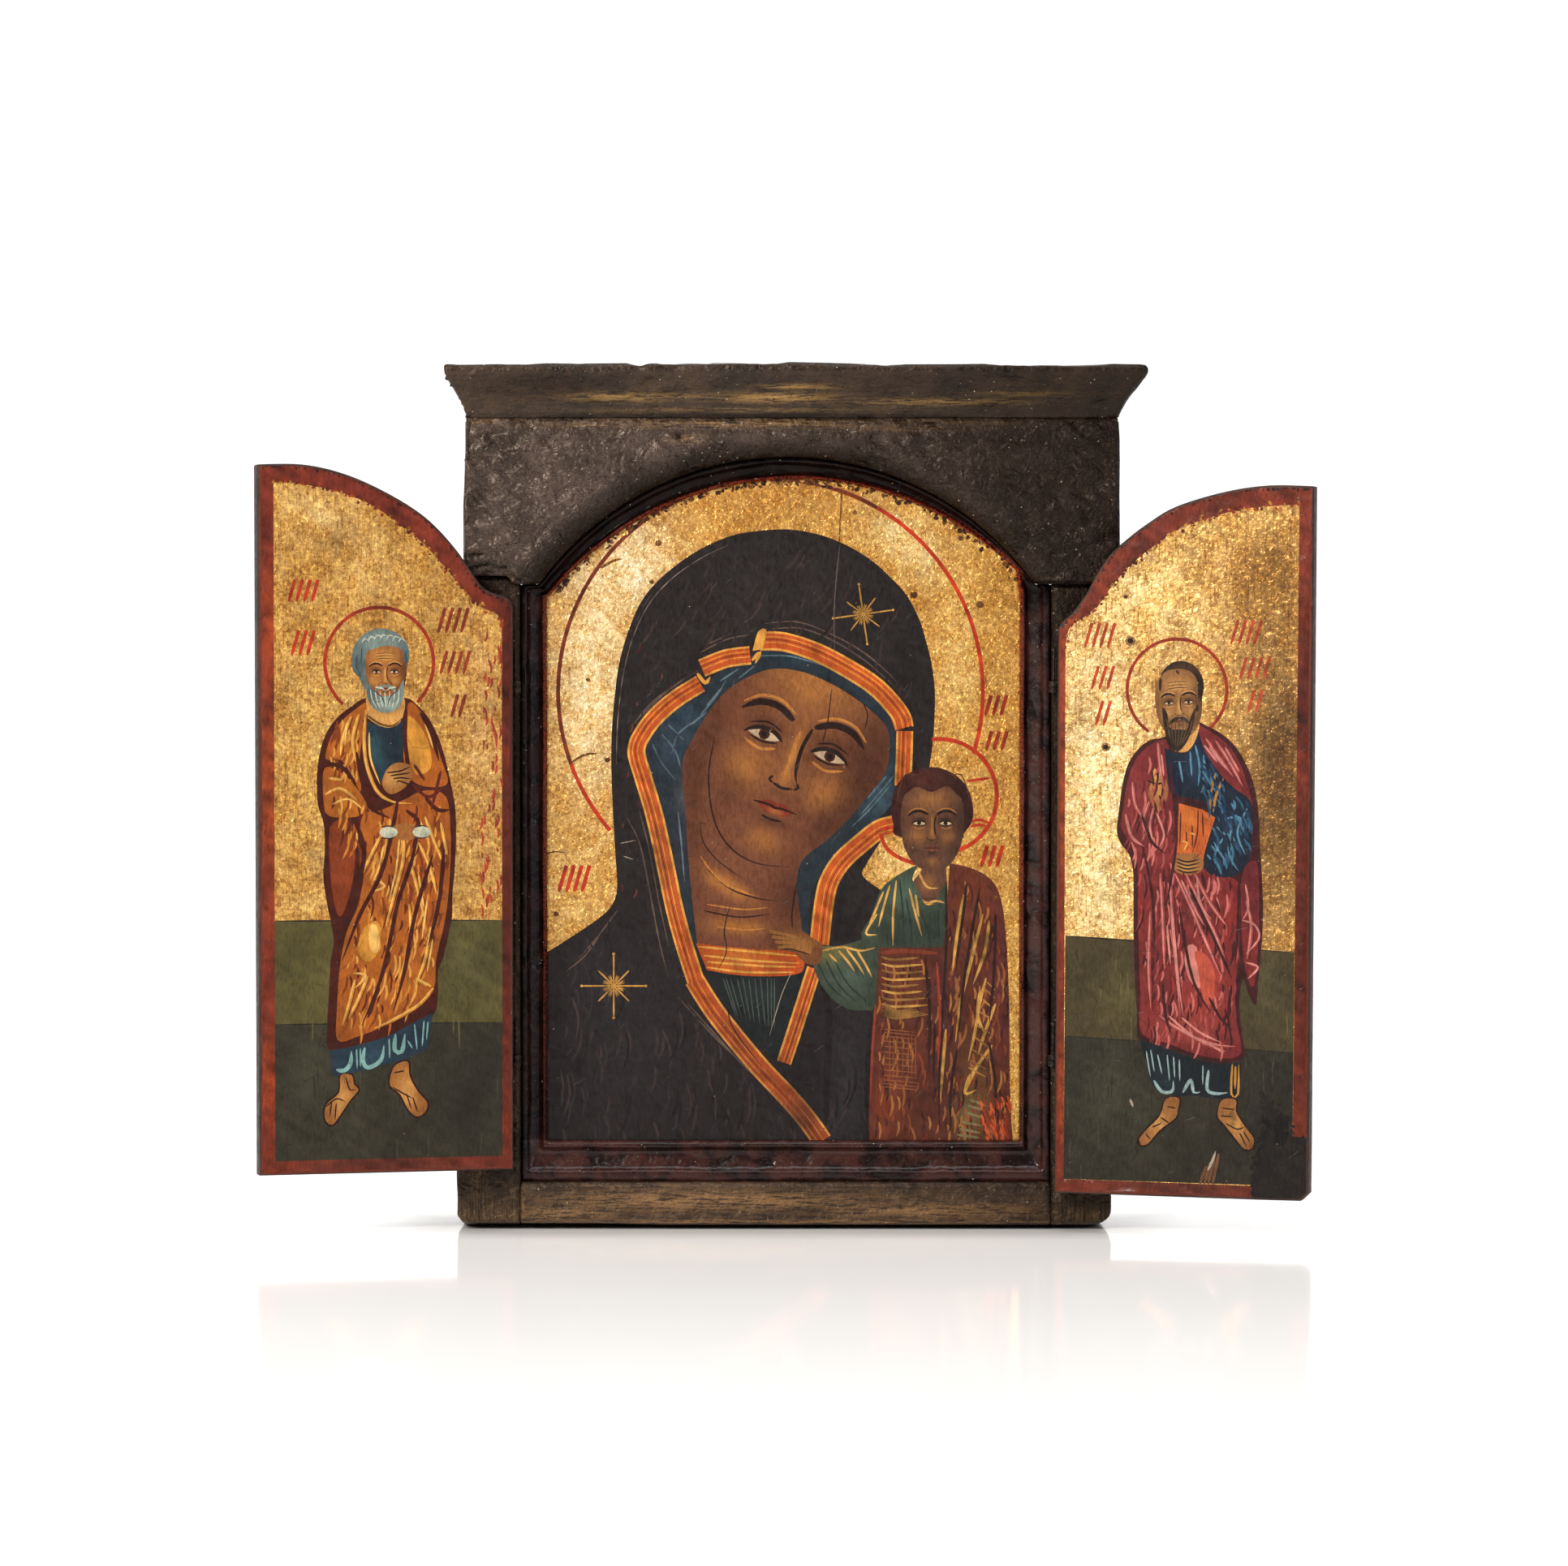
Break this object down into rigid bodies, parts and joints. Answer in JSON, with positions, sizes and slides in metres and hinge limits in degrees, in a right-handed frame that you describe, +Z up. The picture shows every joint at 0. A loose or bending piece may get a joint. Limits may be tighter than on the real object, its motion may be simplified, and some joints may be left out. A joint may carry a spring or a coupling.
{
  "type": "triptych altarpiece",
  "caption": "Small wooden folding icon triptych: arched painted panel in a dark frame with a flared cornice and two painted wings on wire hinges.",
  "frame": {"origin": "middle of the underside, on the surface that the triptych stands on", "axes": "+Z up, -Y is the painted front, +X to the right when facing the front"},
  "size_m": [0.3258, 0.0543, 0.2693],
  "materials": {
    "frame_wood": "dark, thickly varnished and worn",
    "base_wood": "dark varnish worn back to brown wood",
    "moulding_varnish": "dark red-brown gloss varnish, lumpy",
    "painted_panel": "egg tempera and gold leaf under old varnish",
    "painted_wing": "egg tempera and gold leaf with a red border",
    "hinge_wire": "blackened iron wire"
  },
  "bodies": {
    "frame": {"crown_board": "frame_wood", "cornice": "frame_wood", "stile_left": "frame_wood", "stile_right": "frame_wood", "bottom_rail": "base_wood", "icon_panel": "painted_panel", "sight_moulding": "moulding_varnish", "left_lower_stile_eye": "hinge_wire", "left_upper_stile_eye": "hinge_wire", "left_lower_pin": "hinge_wire", "left_upper_pin": "hinge_wire", "right_lower_stile_eye": "hinge_wire", "right_upper_stile_eye": "hinge_wire"},
    "left_leaf": {"left_wing": "painted_wing", "left_lower_wing_eye": "hinge_wire", "left_upper_wing_eye": "hinge_wire"},
    "right_pins": {"right_lower_pin": "hinge_wire", "right_upper_pin": "hinge_wire"},
    "right_leaf": {"right_wing": "painted_wing", "right_lower_wing_eye": "hinge_wire", "right_upper_wing_eye": "hinge_wire"}
  },
  "joints": [
    {"name": "left_wing_hinge", "type": "hinge", "parent": "frame", "child": "left_leaf", "pos_m": [-0.0832, -0.0139, 0.11], "axis": [0, 0, 1], "range_deg": [0, 165]},
    {"name": "right_wing_hinge", "type": "hinge", "parent": "frame", "child": "right_pins", "pos_m": [0.0836, -0.0139, 0.11], "axis": [0, 0, -1], "range_deg": [0, 165]},
    {"name": "right_wing_lift", "type": "slide", "parent": "right_pins", "child": "right_leaf", "axis": [0, 0, 1], "range_m": [0, 0.0039]}
  ],
  "couplings": [
    {"joint": "right_wing_lift", "follows": "right_wing_hinge", "m_per_rad": 0.00135}
  ]
}
